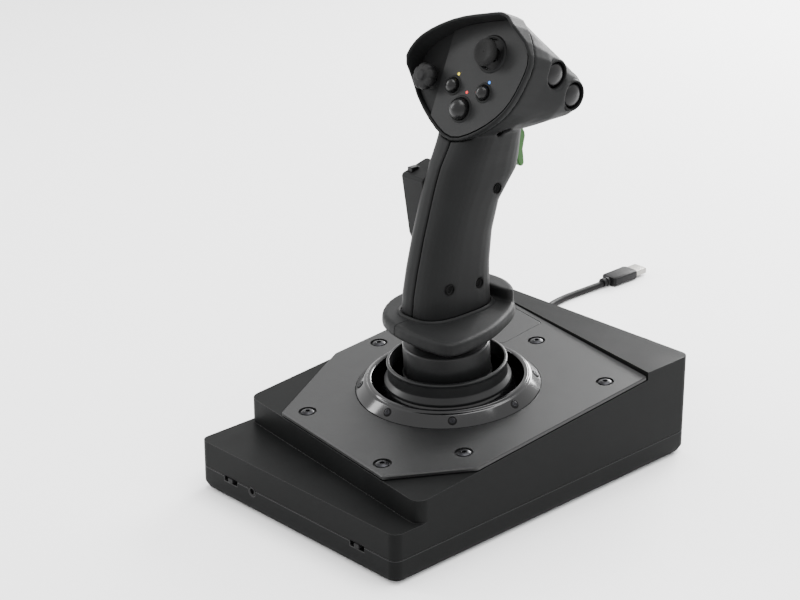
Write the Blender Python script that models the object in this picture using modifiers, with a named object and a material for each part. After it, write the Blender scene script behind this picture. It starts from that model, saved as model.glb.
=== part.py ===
"""A corded flight joystick: a weighted desk base, a two-axis gimbal under a telescoping dust cover,
and a pistol grip with a wide head of buttons, a thumbstick, a hat and a trigger.

Every size below is in millimetres. +X is the user's right, -Y is towards the user, +Z is up, and the
origin is on the table under the middle of the base.
"""

import math

import bmesh
import bpy
from mathutils import Matrix, Vector

MM = 0.001
GAP = 0.3

# Base housing
BASE_WIDTH = 176.0
BASE_DEPTH = 258.0
SHELF_TOP = 32.8
STRIP_TOP = 67.8
TRAY_BOTTOM = 1.5
PARTING = 15.8
TAPER_TOP = 5.5
WALL = 2.6
CORNER = 6.0
TRAY_TAPER = 1.8
STEP_ROUND = 7.0
DECK_MIDDLE = 58.5
DECK_SLOPE = math.radians(4.41)
PLATE_THICK = 2.8
STEP_MIDDLE = -99.6
STEP_SKEW = -0.13
GROOVE_MIDDLE = 103.8
GROOVE_SKEW = -0.1757
CHAMFER_LEFT_X = 35.8
CHAMFER_LEFT_RUN = 76.2
CHAMFER_RIGHT_X = 34.5
CHAMFER_RIGHT_RUN = 43.9

# Small pieces of the base
FOOT_RADIUS = 8.0
FOOT_HEIGHT = 3.2
FOOT_INSET = 16.0
SCREW_HEAD = 4.3
SCREW_WELL = 5.7
SCREW_SHANK = 1.6
JACK_X = -38.5
JACK_Z = 14.6
JACK_RADIUS = 3.0
JACK_BORE = 1.9
SLOT_LONG = 12.0
SLOT_LOW = 12.6
SLOT_HIGH = 16.4
GLAND_X = -74.0
GLAND_Z = 41.0
GLAND_NECK = 4.6
CORD_RADIUS = 2.5

# Gimbal and dust cover, all turning about one centre
PIVOT_Z = 36.0
PIVOT_Y = (DECK_MIDDLE - PIVOT_Z) * math.tan(DECK_SLOPE)
PIN_RADIUS = 3.0
YOKE_X = 30.0
YOKE_Y = 24.0
YOKE_WALL_X = 10.0
YOKE_WALL_Y = 9.0
YOKE_HALF = 6.0
CHEEK = 3.5
SHAFT_RADIUS = 7.0
SHAFT_TOP = 128.0
BEZEL_OUTER = 58.0
BEZEL_INNER = 47.6
BEZEL_RISE = 8.0
CUP_OUTER = 37.4
CUP_WALL = 2.0
CUP_FLANGE = 40.0
WASHER_OUTER = 43.0
WASHER_INNER = 38.6
WASHER_DOME = 47.6
WASHER_THICK = 1.6
SLIDE_GAP = 0.5
CUP_TOP = 77.6
COLLAR_RADIUS = 27.2
COLLAR_FLANGE = 28.2
COLLAR_BOTTOM = 68.0
COLLAR_TOP = 89.6
COLLAR_WALL = 2.2
RIM_ROUND = 0.8

# Hand rest and grip
HUB_WIDE = 22.5
REST_BOTTOM = 103.5
REST_TOP = 112.0
SHELL = 2.5
HEAD_ORIGIN = Vector((0.0, 1.5, 222.9))
HEAD_TILT = math.radians(22.3)
HEAD_FRONT = 3.8
FRAME_WIDTH = 2.4
HOOD_HEIGHT = 12.0
HOOD_MIDDLE = 113.0
FACE_THICK = 3.0
PANEL_SUNK = 1.9
PANEL_LOW = 3.7
FACE_SPLIT = -21.0

SIDE = BASE_WIDTH / 2
BACK = BASE_DEPTH / 2
LEVEL_DROP = PLATE_THICK
ROUND_STEPS = 20

for old in list(bpy.data.objects):
    bpy.data.objects.remove(old, do_unlink=True)
PARTS = bpy.data.collections.new("flight_joystick")
CUTTERS = bpy.data.collections.new("cutters")
bpy.context.scene.collection.children.link(PARTS)
bpy.context.scene.collection.children.link(CUTTERS)

PLASTIC = ((0.035, 0.036, 0.037), 0.55, 0.0)
TEXTURED = ((0.045, 0.046, 0.047), 0.7, 0.0)
GLOSSY = ((0.008, 0.008, 0.009), 0.12, 0.0)
SOFT = ((0.02, 0.02, 0.021), 0.8, 0.0)
STEEL = ((0.35, 0.35, 0.36), 0.35, 1.0)
GREEN = ((0.11, 0.3, 0.065), 0.4, 0.0)
BOARD = ((0.01, 0.12, 0.03), 0.5, 0.0)


# ---- objects and modifiers -------------------------------------------------------------------------


def finish_material(name, finish):
    """One Principled material for one piece."""
    colour, roughness, metallic = finish
    material = bpy.data.materials.new(name)
    material.use_nodes = True
    shader = material.node_tree.nodes["Principled BSDF"]
    shader.inputs["Base Color"].default_value = (*colour, 1.0)
    shader.inputs["Roughness"].default_value = roughness
    shader.inputs["Metallic"].default_value = metallic
    return material


def put(name, mesh, finish, at=(0, 0, 0), turn=None):
    """Adds a mesh as a part, or as a hidden cutter when it has no finish."""
    thing = bpy.data.objects.new(name, mesh)
    matrix = Matrix.Translation(Vector(at) * MM)
    if turn is not None:
        matrix = matrix @ turn.to_4x4()
    thing.matrix_world = matrix
    if finish is None:
        CUTTERS.objects.link(thing)
        thing.hide_render = True
        thing.display_type = "WIRE"
    else:
        PARTS.objects.link(thing)
        mesh.materials.append(finish_material(name, finish))
        mesh.shade_smooth()
        mesh.set_sharp_from_angle(angle=math.radians(35))
    return thing


def mesh_of(name, work):
    """Closes a bmesh into a mesh with its faces pointing out."""
    bmesh.ops.recalc_face_normals(work, faces=work.faces)
    mesh = bpy.data.meshes.new(name)
    work.to_mesh(mesh)
    work.free()
    return mesh


def box(name, low, high, finish=None, bevel=0.0):
    """A box between two corners."""
    low, high = Vector(low), Vector(high)
    work = bmesh.new()
    bmesh.ops.create_cube(work, size=1.0)
    middle = (low + high) / 2 * MM
    for vert in work.verts:
        vert.co = middle + Vector([c * s * MM for c, s in zip(vert.co, high - low)])
    thing = put(name, mesh_of(name, work), finish)
    if bevel:
        soften(thing, bevel)
    return thing


def cylinder(name, radius, start, end, finish=None, steps=ROUND_STEPS):
    """A round bar from one point to another."""
    start, end = Vector(start), Vector(end)
    along = end - start
    work = bmesh.new()
    bmesh.ops.create_cone(
        work, cap_ends=True, segments=steps, radius1=radius * MM, radius2=radius * MM, depth=along.length * MM
    )
    turn = along.to_track_quat("Z", "Y").to_matrix()
    return put(name, mesh_of(name, work), finish, (start + end) / 2, turn)


def turned(name, profile, finish=None, at=(0, 0, 0), turn=None, steps=ROUND_STEPS, closed=False):
    """A profile of (radius, height) points run round +Z by a Screw, outer side first and downwards."""
    mesh = bpy.data.meshes.new(name)
    count = len(profile)
    edges = [(i, i + 1) for i in range(count - 1)] + ([(count - 1, 0)] if closed else [])
    mesh.from_pydata([(r * MM, 0.0, z * MM) for r, z in profile], edges, [])
    thing = put(name, mesh, finish, at, turn)
    screw = thing.modifiers.new("turn", "SCREW")
    screw.axis = "Z"
    screw.steps = steps
    screw.render_steps = steps
    screw.use_merge_vertices = True
    screw.merge_threshold = 0.00005
    screw.use_smooth_shade = True
    return thing


def prism(name, outline, low, high, finish=None, at=(0, 0, 0), turn=None):
    """A flat outline drawn up from one height to another. A height may be a number or a rule of (x, y)."""
    low_at = low if callable(low) else (lambda x, y: low)
    high_at = high if callable(high) else (lambda x, y: high)
    work = bmesh.new()
    floor = work.faces.new([work.verts.new((x * MM, y * MM, low_at(x, y) * MM)) for x, y in outline])
    raised = bmesh.ops.extrude_face_region(work, geom=[floor])["geom"]
    for vert in raised:
        if isinstance(vert, bmesh.types.BMVert):
            vert.co.z = high_at(vert.co.x / MM, vert.co.y / MM) * MM
    return put(name, mesh_of(name, work), finish, at, turn)


def loft(name, rings, finish=None):
    """A skin over closed rings of points, with its two ends filled."""
    work = bmesh.new()
    rows = [[work.verts.new(Vector(point) * MM) for point in ring] for ring in rings]
    for near, far in zip(rows, rows[1:]):
        for i in range(len(near)):
            j = (i + 1) % len(near)
            work.faces.new((near[i], near[j], far[j], far[i]))
    work.faces.new(rows[0])
    work.faces.new(rows[-1])
    return put(name, mesh_of(name, work), finish)


def band(name, rings, finish=None):
    """A closed ring of cross-sections, each joined to the next and the last to the first."""
    work = bmesh.new()
    rows = [[work.verts.new(Vector(point) * MM) for point in ring] for ring in rings]
    for near, far in zip(rows, rows[1:] + rows[:1]):
        for i in range(len(near)):
            j = (i + 1) % len(near)
            work.faces.new((near[i], near[j], far[j], far[i]))
    return put(name, mesh_of(name, work), finish)


def soften(thing, width, segments=2):
    """Rounds the sharp edges of a piece."""
    bevel = thing.modifiers.new("edges", "BEVEL")
    bevel.width = width * MM
    bevel.segments = segments
    bevel.limit_method = "ANGLE"
    bevel.angle_limit = math.radians(40)


def combine(thing, other, operation, solver):
    boolean = thing.modifiers.new(other.name, "BOOLEAN")
    boolean.operation = operation
    boolean.object = other
    boolean.solver = solver


def lean(*things):
    """Tips pieces, and the cutters in them, about the pivot until they stand square to the sloping deck."""
    turn = Matrix.Rotation(DECK_SLOPE, 4, "X")
    onto = Matrix.Translation(Vector((0, PIVOT_Y, PIVOT_Z)) * MM)
    back = Matrix.Translation(Vector((0, 0, -PIVOT_Z)) * MM)
    for thing in things:
        members = [thing] + [m.object for m in thing.modifiers if m.type == "BOOLEAN"]
        for member in members:
            member.matrix_world = onto @ turn @ back @ member.matrix_world


def cut(thing, *others, solver="EXACT"):
    for other in others:
        combine(thing, other, "DIFFERENCE", solver)


def join(thing, *others, solver="EXACT"):
    for other in others:
        combine(thing, other, "UNION", solver)


# ---- outlines ----------------------------------------------------------------------------------------


def rounded(corners, radius, steps=4):
    """A polygon with each corner turned into an arc."""
    points = []
    for i, corner in enumerate(corners):
        here = Vector(corner)
        before = (Vector(corners[i - 1]) - here).normalized()
        after = (Vector(corners[(i + 1) % len(corners)]) - here).normalized()
        half = before.angle(after) / 2
        reach = radius / math.tan(half)
        centre = here + (before + after).normalized() * (radius / math.sin(half))
        start = here + before * reach - centre
        end = here + after * reach - centre
        sweep = start.angle_signed(end)
        for k in range(steps + 1):
            angle = -sweep * k / steps
            points.append(tuple(centre + Matrix.Rotation(angle, 2) @ start))
    return points


def smooth_loop(knots, per_knot):
    """A closed Catmull-Rom curve through the knots."""
    knots = [Vector(knot) for knot in knots]
    count = len(knots)
    points = []
    for i in range(count):
        a, b, c, d = (knots[(i + k - 1) % count] for k in range(4))
        for step in range(per_knot):
            t = step / per_knot
            points.append(
                0.5 * (2 * b + (c - a) * t + (2 * a - 5 * b + 4 * c - d) * t**2 + (3 * b - a - 3 * c + d) * t**3)
            )
    return points


def smooth_path(knots, per_knot):
    """An open Catmull-Rom curve through the knots, ends included."""
    knots = [Vector(knot) for knot in knots]
    ends = [2 * knots[0] - knots[1]] + knots + [2 * knots[-1] - knots[-2]]
    points = []
    for a, b, c, d in zip(ends, ends[1:], ends[2:], ends[3:]):
        for step in range(per_knot):
            t = step / per_knot
            points.append(
                0.5 * (2 * b + (c - a) * t + (2 * a - 5 * b + 4 * c - d) * t**2 + (3 * b - a - 3 * c + d) * t**3)
            )
    return points + [knots[-1]]


def inset(loop, distance):
    """Moves a counter-clockwise loop inwards by a distance."""
    moved = []
    for i, point in enumerate(loop):
        along = (loop[(i + 1) % len(loop)] - loop[i - 1]).normalized()
        moved.append(point + Vector((-along.y, along.x)) * distance)
    return moved


def deck(x, y):
    """Height of the sloping top plate's upper face."""
    return DECK_MIDDLE + math.tan(DECK_SLOPE) * y


def level(x, y):
    """Height of the sloping shoulder that the top plate lies on."""
    return deck(x, y) - LEVEL_DROP


def step_line(x):
    return STEP_MIDDLE + STEP_SKEW * x


def groove_line(x):
    return GROOVE_MIDDLE + GROOVE_SKEW * x


# ---- base ----------------------------------------------------------------------------------------------


def footprint(shrink, radius):
    wide, deep = SIDE - shrink, BACK - shrink
    return rounded([(-wide, -deep), (wide, -deep), (wide, deep), (-wide, deep)], radius)


SWITCH_XS = (-(SIDE - 29.3), SIDE - 32.2)
FOOT_SPOTS = [(sx * (SIDE - FOOT_INSET), sy * (BACK - FOOT_INSET)) for sy in (-1, 1) for sx in (-1, 1)]
SCREW_SPOTS = [
    (-40.9, step_line(-40.9) + 13.0),
    (41.6, step_line(41.6) + 9.6),
    (SIDE - 19.4, -54.9),
    (SIDE - 16.1, 65.9),
    (-0.1, 80.7),
    (-SIDE + 11.1, 12.4),
]
TRAY_TOP = PARTING - 0.2
SHELL_BOTTOM = PARTING + 0.2
TRAY_FLOOR = TRAY_BOTTOM + 3.2


def front_openings():
    """What the front walls leave open: the headset socket and the two slots."""
    start, end = (JACK_X, -BACK - 2, JACK_Z), (JACK_X, -BACK + 14, JACK_Z)
    openings = [cylinder("jack_hole", JACK_RADIUS + GAP, start, end)]
    for i, x in enumerate(SWITCH_XS):
        low = (x - SLOT_LONG / 2, -BACK - 2, SLOT_LOW)
        high = (x + SLOT_LONG / 2, -BACK + WALL + 1, SLOT_HIGH)
        openings.append(box(f"switch_slot_{i + 1}", low, high))
    return openings


def make_tray(openings):
    lower = [Vector((x, y, TRAY_BOTTOM)) for x, y in footprint(TRAY_TAPER, CORNER)]
    middle = [Vector((x, y, TAPER_TOP)) for x, y in footprint(0.0, CORNER)]
    upper = [Vector((x, y, TRAY_TOP)) for x, y in footprint(0.0, CORNER)]
    tray = loft("bottom_tray", [lower, middle, upper], PLASTIC)
    inner_low = [Vector((x, y, TRAY_FLOOR)) for x, y in footprint(TRAY_TAPER + WALL, CORNER - WALL)]
    inner_mid = [Vector((x, y, TAPER_TOP)) for x, y in footprint(WALL, CORNER - WALL)]
    inner_top = [Vector((x, y, TRAY_TOP + 2)) for x, y in footprint(WALL, CORNER - WALL)]
    cut(tray, loft("tray_inside", [inner_low, inner_mid, inner_top]))
    for i, (x, y) in enumerate(FOOT_SPOTS):
        well = cylinder(f"foot_well_{i + 1}", FOOT_RADIUS + GAP, (x, y, 0), (x, y, FOOT_HEIGHT + GAP))
        cylinder(f"rubber_foot_{i + 1}", FOOT_RADIUS, (x, y, 0), (x, y, FOOT_HEIGHT), SOFT)
        cut(tray, well)
    cut(tray, *openings)


def shoulder_outline(shrink):
    """Plan of the hollow under the raised part of the shell, behind the skewed step."""
    wide, deep = SIDE - shrink, BACK - shrink
    corners = [
        (-wide, step_line(-wide) + shrink),
        (wide, step_line(wide) + shrink),
        (wide, deep),
        (-wide, deep),
    ]
    return rounded(corners, CORNER - WALL)


def make_shell(openings):
    """The upper housing: one block, stepped down to the shelf in front and to the sloping shoulder."""
    shell = prism("top_shell", footprint(0.0, CORNER), SHELL_BOTTOM, STRIP_TOP, PLASTIC)
    far = SIDE + 20
    above = STRIP_TOP + 20
    over_shelf = [(-far, -BACK - 20), (far, -BACK - 20), (far, 0), (-far, 0)]
    raised = [(-SIDE, step_line(-SIDE)), (SIDE, step_line(SIDE)), (SIDE, BACK), (-SIDE, BACK)]
    raised_block = prism("raised_block", rounded(raised, STEP_ROUND, 5), SHELF_TOP - 5, above + 5)
    shelf_air = prism("shelf_air", over_shelf, SHELF_TOP, above)
    cut(shelf_air, raised_block)
    over_deck = [
        (-far, step_line(-far) - 5),
        (far, step_line(far) - 5),
        (far, groove_line(far)),
        (-far, groove_line(-far)),
    ]
    inside_low = prism("shell_inside", footprint(WALL, CORNER - WALL), SHELL_BOTTOM - 2, SHELF_TOP - WALL)
    inside_high = prism(
        "shoulder_inside", shoulder_outline(WALL), SHELF_TOP - WALL - 2, lambda x, y: level(x, y) - WALL
    )
    cut(shell, shelf_air, solver="MANIFOLD")
    cut(shell, prism("over_deck", over_deck, level, above), solver="MANIFOLD")
    dust_opening = cylinder("dust_opening", BEZEL_INNER + 1, (0, 0, 40), (0, 0, 80), steps=40)
    cut(shell, inside_low, inside_high, dust_opening, solver="MANIFOLD")
    for i, (x, y) in enumerate(SCREW_SPOTS):
        hole = deck_cylinder(f"shell_screw_hole_{i + 1}", SCREW_SHANK + 0.4, x, y, -14, 4)
        cut(shell, hole, solver="MANIFOLD")
    gland_hole = cylinder(
        "gland_hole", GLAND_NECK + GAP, (GLAND_X, BACK - 8, GLAND_Z), (GLAND_X, BACK + 4, GLAND_Z)
    )
    cut(shell, gland_hole, *openings, solver="MANIFOLD")


def deck_cylinder(name, radius, x, y, low, high, steps=12):
    """A cutter square to the sloping deck, between two heights over it."""
    normal = Vector((0, -math.sin(DECK_SLOPE), math.cos(DECK_SLOPE)))
    spot = Vector((x, y, deck(x, y)))
    return cylinder(name, radius, spot + normal * low, spot + normal * high, steps=steps)


def plate_outline(shrink):
    """Plan of the raised plate: skewed front, two long chamfers, flush sides, skewed rear edge."""
    wide = SIDE - shrink
    left = -SIDE + CHAMFER_LEFT_X
    right = SIDE - CHAMFER_RIGHT_X
    corners = [
        (left, step_line(left) + shrink),
        (right, step_line(right) + shrink),
        (wide, step_line(right) + CHAMFER_RIGHT_RUN + shrink),
        (wide, groove_line(wide) - shrink - 0.3),
        (-wide, groove_line(-wide) - shrink - 0.3),
        (-wide, step_line(left) + CHAMFER_LEFT_RUN + shrink),
    ]
    return rounded(corners, 2.0, 3)


def cover_outline(shrink):
    """Plan of the small service cover, tucked between the ring and the groove."""
    right, left = -13.4 - shrink, -62.0 + shrink
    near = 62.5 + shrink
    corners = [
        (right, near),
        (right - 1.8, groove_line(right) - 4.0 - shrink),
        (left, groove_line(left) - 4.0 - shrink),
        (left, near),
    ]
    return rounded(corners, 3.0)


def make_plate():
    plate = prism(
        "top_plate", plate_outline(GAP), lambda x, y: level(x, y) + GAP, deck, TEXTURED
    )
    soften(plate, 0.5, 1)
    cut(plate, cylinder("bezel_hole", BEZEL_OUTER + GAP, (0, 0, 40), (0, 0, 80), steps=48))
    pocket_floor = 1.2
    cut(
        plate,
        prism("cover_pocket", cover_outline(0.0), lambda x, y: deck(x, y) - pocket_floor - GAP, 90.0),
    )
    prism("service_cover", cover_outline(GAP), lambda x, y: deck(x, y) - pocket_floor, deck, TEXTURED)
    tilt = Matrix.Rotation(DECK_SLOPE, 3, "X")
    for i, (x, y) in enumerate(SCREW_SPOTS):
        cut(plate, deck_cylinder(f"screw_well_{i + 1}", SCREW_WELL, x, y, -1.7, 3, 20))
        cut(plate, deck_cylinder(f"screw_hole_{i + 1}", SCREW_SHANK + 0.4, x, y, -6, 1))
        profile = [(0, 0.6), (2.6, 0.45), (SCREW_HEAD, -0.3), (SCREW_HEAD, -1.2)]
        profile += [(SCREW_SHANK, -1.3), (SCREW_SHANK, -10.0), (0, -10.0)]
        screw = turned(f"plate_screw_{i + 1}", profile, STEEL, (x, y, deck(x, y)), tilt, 12)
        cut(screw, deck_cylinder(f"hex_socket_{i + 1}", 1.6, x, y, -0.9, 2, 6))


def make_bezel():
    profile = [
        (BEZEL_OUTER, 0.4),
        (BEZEL_OUTER, -LEVEL_DROP + 2 * GAP),
        (BEZEL_INNER, -LEVEL_DROP + 2 * GAP),
        (BEZEL_INNER, BEZEL_RISE - 0.8),
        (BEZEL_INNER + 0.8, BEZEL_RISE),
        (BEZEL_INNER + 1.8, BEZEL_RISE - 0.4),
    ]
    turned(
        "bezel_ring", profile, GLOSSY, (0, 0, DECK_MIDDLE), Matrix.Rotation(DECK_SLOPE, 3, "X"), 48, closed=True
    )


def make_front_fittings():
    """The headset socket, and two slide switches with their knobs in the front slots."""
    deep, blind = -13.0, -11.0
    outside = [(JACK_RADIUS, 0.0), (JACK_RADIUS, deep), (0, deep)]
    profile = outside + [(0, blind), (JACK_BORE, blind), (JACK_BORE, 0.0)]
    facing = Matrix.Rotation(math.radians(90), 3, "X")
    turned("headset_socket", profile, SOFT, (JACK_X, -BACK, JACK_Z), facing, 20, closed=True)
    inner_face = -BACK + WALL + GAP
    middle = (SLOT_LOW + SLOT_HIGH) / 2
    for i, x in enumerate(SWITCH_XS):
        body_low = (x - SLOT_LONG / 2 - 2, inner_face, SLOT_LOW - 0.4)
        body_high = (x + SLOT_LONG / 2 + 2, inner_face + 6, SLOT_HIGH + 1)
        body = box(f"slide_switch_{i + 1}", body_low, body_high, SOFT)
        travel = box(
            f"switch_travel_{i + 1}",
            (x - SLOT_LONG / 2, inner_face - 1, SLOT_LOW + 0.2),
            (x + SLOT_LONG / 2, inner_face + 2, SLOT_HIGH - 0.2),
        )
        cut(body, travel)
        knob = box(
            f"switch_knob_{i + 1}",
            (x - 2.2, -BACK - 0.6, middle - 1.4),
            (x + 2.2, inner_face + 1.6, middle + 1.4),
            SOFT,
            0.3,
        )
        knob.modifiers["edges"].segments = 1


def make_inside():
    """Ballast, circuit board and the fixed frame of the gimbal."""
    floor = TRAY_FLOOR + GAP
    box("ballast_plate", (-55, -BACK + 11, floor), (55, -62, floor + 5), STEEL, 0.8)
    box("main_board", (-52, 62, floor), (52, BACK - 14, floor + 1.6), BOARD)
    outer = YOKE_X + GAP + CHEEK
    frame = box("gimbal_frame", (-outer - 8, PIVOT_Y - 30, floor), (outer + 8, PIVOT_Y + 30, floor + 3), SOFT)
    for sign, side in ((-1, "left"), (1, "right")):
        low_x, high_x = sorted((sign * (YOKE_X + 2 * GAP), sign * outer))
        corners = (low_x, PIVOT_Y - 12, floor + 1), (high_x, PIVOT_Y + 12, PIVOT_Z + 9)
        join(frame, box(f"cheek_{side}", *corners))
        start = (sign * (YOKE_X - YOKE_WALL_X + 1), PIVOT_Y, PIVOT_Z)
        end = (sign * (outer + 2), PIVOT_Y, PIVOT_Z)
        cylinder(f"yoke_pin_{side}", PIN_RADIUS, start, end, STEEL, 16)
    start, end = (-60, PIVOT_Y, PIVOT_Z), (60, PIVOT_Y, PIVOT_Z)
    cut(frame, cylinder("cheek_bore", PIN_RADIUS + GAP, start, end, steps=16))


def make_gland():
    """The tapered strain relief that holds the cord in the rear wall."""
    bore = CORD_RADIUS + GAP
    profile = [
        (3.5, 23.0),
        (4.8, 3.5),
        (6.4, 3.0),
        (6.4, GAP),
        (GLAND_NECK, GAP),
        (GLAND_NECK, -WALL - GAP),
        (6.4, -WALL - GAP),
        (6.4, -WALL - 2.5),
        (bore, -WALL - 2.5),
        (bore, 23.0),
    ]
    rearward = Matrix.Rotation(math.radians(-90), 3, "X")
    turned("cable_gland", profile, SOFT, (GLAND_X, BACK, GLAND_Z), rearward, 20, closed=True)


# ---- cord ----------------------------------------------------------------------------------------------

COIL_AT = (-25.0, 175.0)
COIL_RADIUS = 30.0
COIL_THICK = 11.0
LEAD_ROUTE = [
    (-74, 118, 41),
    (-74, 135, 41),
    (-74, 150, 41),
    (-74.5, 163, 38.5),
    (-76, 174, 31),
    (-78, 183, 20),
    (-78.5, 191, 10),
    (-75.5, 198.5, 4),
    (-69, 204, 2.6),
    (-60, 207.3, 2.6),
    (-50, 210.2, 2.6),
    (-39.6, 213.6, 2.6),
]
TAIL_ROUTE = [
    (-54.4, 145.6, 2.6),
    (-64, 156, 2.6),
    (-78, 170, 2.6),
    (-92, 184, 2.6),
    (-106, 198, 2.6),
    (-120, 213, 2.6),
    (-131, 229, 2.6),
    (-137.5, 246, 2.6),
    (-140, 264, 2.6),
    (-140, 282, 2.6),
    (-139, 305, 2.9),
]


def tube(name, route, radius, finish, per_knot, resolution=2):
    curve = bpy.data.curves.new(name, "CURVE")
    curve.dimensions = "3D"
    curve.bevel_depth = radius * MM
    curve.bevel_resolution = resolution
    curve.use_fill_caps = True
    points = smooth_path(route, per_knot)
    spline = curve.splines.new("POLY")
    spline.points.add(len(points) - 1)
    for slot, point in zip(spline.points, points):
        slot.co = (*(point * MM), 1.0)
    thing = bpy.data.objects.new(name, curve)
    PARTS.objects.link(thing)
    curve.materials.append(finish_material(name, finish))
    return thing


def make_cord():
    tube("cord_lead", LEAD_ROUTE, CORD_RADIUS, SOFT, 2)
    tube("cord_tail", TAIL_ROUTE, CORD_RADIUS, SOFT, 2)
    ring = []
    for i in range(12):
        angle = math.radians(15 - 30 * i)
        ring.append((COIL_RADIUS + COIL_THICK * math.cos(angle), COIL_THICK * math.sin(angle)))
    turned("cord_coil", ring, SOFT, (*COIL_AT, COIL_THICK + 0.1), steps=32, closed=True)
    make_plug()


PLUG_BODY = 26.0
PLUG_SHELL = 12.0
PLUG_WIDE = 15.0
PLUG_HIGH = 7.6


def make_plug():
    """A moulded USB plug lying flat at the end of the cord."""
    start = Vector(TAIL_ROUTE[-1])
    near = start.y + GAP
    middle = start.z + 1.0
    body_low = (start.x - PLUG_WIDE / 2, near + 7, middle - PLUG_HIGH / 2)
    body_high = (start.x + PLUG_WIDE / 2, near + 7 + PLUG_BODY, middle + PLUG_HIGH / 2)
    body = box("usb_plug", body_low, body_high, SOFT)
    boot = cylinder("plug_boot", 3.4, (start.x, near, middle), (start.x, near + 9, middle), steps=16)
    shell_low = (start.x - 6, near + PLUG_BODY, middle - 2.2)
    shell_high = (start.x + 6, near + 7 + PLUG_BODY + PLUG_SHELL, middle + 2.2)
    join(body, boot, box("plug_shell", shell_low, shell_high))


# ---- gimbal, dust cover and neck -----------------------------------------------------------------------


def make_gimbal():
    half = Vector((YOKE_X, YOKE_Y, YOKE_HALF))
    yoke = box("gimbal_yoke", Vector((0, 0, PIVOT_Z)) - half, Vector((0, 0, PIVOT_Z)) + half, SOFT)
    window_x, window_y = YOKE_X - YOKE_WALL_X, YOKE_Y - YOKE_WALL_Y
    cut(yoke, box("yoke_window", (-window_x, -window_y, PIVOT_Z - 20), (window_x, window_y, PIVOT_Z + 20)))
    bore = PIN_RADIUS + GAP
    cut(yoke, cylinder("yoke_bore_x", bore, (-60, 0, PIVOT_Z), (60, 0, PIVOT_Z), steps=16))
    cut(yoke, cylinder("yoke_bore_y", bore, (0, -60, PIVOT_Z), (0, 60, PIVOT_Z), steps=16))
    pin_half = YOKE_Y - 1
    pin = cylinder("cross_pin", PIN_RADIUS, (0, -pin_half, PIVOT_Z), (0, pin_half, PIVOT_Z), STEEL, 16)

    seat_low = PIVOT_Z + YOKE_HALF + GAP
    seat = [(19, seat_low + 2), (19, seat_low), (11.5, seat_low), (11.5, seat_low + 2)]
    seat_ring = turned("spring_seat", seat, SOFT, closed=True)
    cup_low = 59.8
    cup = [(17, cup_low + 2), (17, cup_low), (SHAFT_RADIUS + GAP, cup_low), (SHAFT_RADIUS + GAP, cup_low + 2)]
    spring_cup = turned("spring_cup", cup, SOFT, closed=True)
    turns, per_turn, wire, coil = 3.5, 12, 0.9, 14.0
    low, high = seat_low + 2 + GAP + wire, cup_low - GAP - wire
    count = int(turns * per_turn)
    helix = []
    for i in range(count + 1):
        angle = 2 * math.pi * i / per_turn
        helix.append((coil * math.cos(angle), coil * math.sin(angle), low + (high - low) * i / count))
    spring = tube("centring_spring", helix, wire, STEEL, 1)

    shaft = cylinder("stick_shaft", SHAFT_RADIUS, (0, 0, PIVOT_Z + 2), (0, 0, SHAFT_TOP), STEEL, 20)
    join(shaft, box("shaft_block", (-9, -7, PIVOT_Z - 8), (9, 7, PIVOT_Z + 6)))
    cut(shaft, cylinder("shaft_bore", bore, (0, -60, PIVOT_Z), (0, 60, PIVOT_Z), steps=16))
    lean(yoke, pin, seat_ring, spring_cup, spring, shaft)


def dome_height(radius, dome):
    """Height of a point on a dome about the pivot, so that the washer and the cup slide without rubbing."""
    return PIVOT_Z + math.sqrt(dome * dome - radius * radius)


def make_dust_cover():
    inner = CUP_OUTER - CUP_WALL
    radii = [WASHER_INNER + (WASHER_OUTER - WASHER_INNER) * i / 3 for i in range(4)]
    section = [(radius, dome_height(radius, WASHER_DOME)) for radius in radii]
    section += [(radius, dome_height(radius, WASHER_DOME - WASHER_THICK)) for radius in reversed(radii)]
    washer = turned("dust_washer", section, PLASTIC, steps=40, closed=True)
    ride = WASHER_DOME + SLIDE_GAP
    flange_low = dome_height(CUP_FLANGE, ride)
    section = [
        (inner + 0.5, CUP_TOP),
        (CUP_OUTER, CUP_TOP - 0.4),
        (CUP_OUTER + 0.6, CUP_TOP - 1.4),
        (CUP_OUTER, CUP_TOP - 2.6),
        (CUP_OUTER, flange_low + 5.0),
        (CUP_FLANGE, flange_low + 2.0),
        (CUP_FLANGE, flange_low),
        (CUP_OUTER + 0.3, dome_height(CUP_OUTER + 0.3, ride)),
        (inner, dome_height(inner, ride)),
        (inner, CUP_TOP - 0.5),
    ]
    cup = turned("dust_cup", section, PLASTIC, steps=40, closed=True)
    hole = SHAFT_RADIUS + GAP
    section = [
        (COLLAR_RADIUS - RIM_ROUND, COLLAR_TOP),
        (COLLAR_RADIUS, COLLAR_TOP - RIM_ROUND),
        (COLLAR_RADIUS, COLLAR_BOTTOM + 2.0),
        (COLLAR_FLANGE, COLLAR_BOTTOM + 1.5),
        (COLLAR_FLANGE, COLLAR_BOTTOM),
        (COLLAR_RADIUS - COLLAR_WALL, COLLAR_BOTTOM),
        (COLLAR_RADIUS - COLLAR_WALL, COLLAR_TOP - 2.5),
        (hole, COLLAR_TOP - 2.5),
        (hole, COLLAR_TOP),
    ]
    collar = turned("neck_collar", section, PLASTIC, steps=36, closed=True)
    low, high = COLLAR_TOP + GAP, REST_BOTTOM - HUB_WIDE * math.sin(DECK_SLOPE) - GAP
    section = [
        (HUB_WIDE, high),
        (HUB_WIDE, high - 2),
        (HUB_WIDE - 2, high - 4),
        (HUB_WIDE - 2, low),
        (hole, low),
        (hole, high),
    ]
    hub = turned("neck_hub", section, SOFT, steps=24, closed=True)
    lean(washer, cup, collar, hub)


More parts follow.
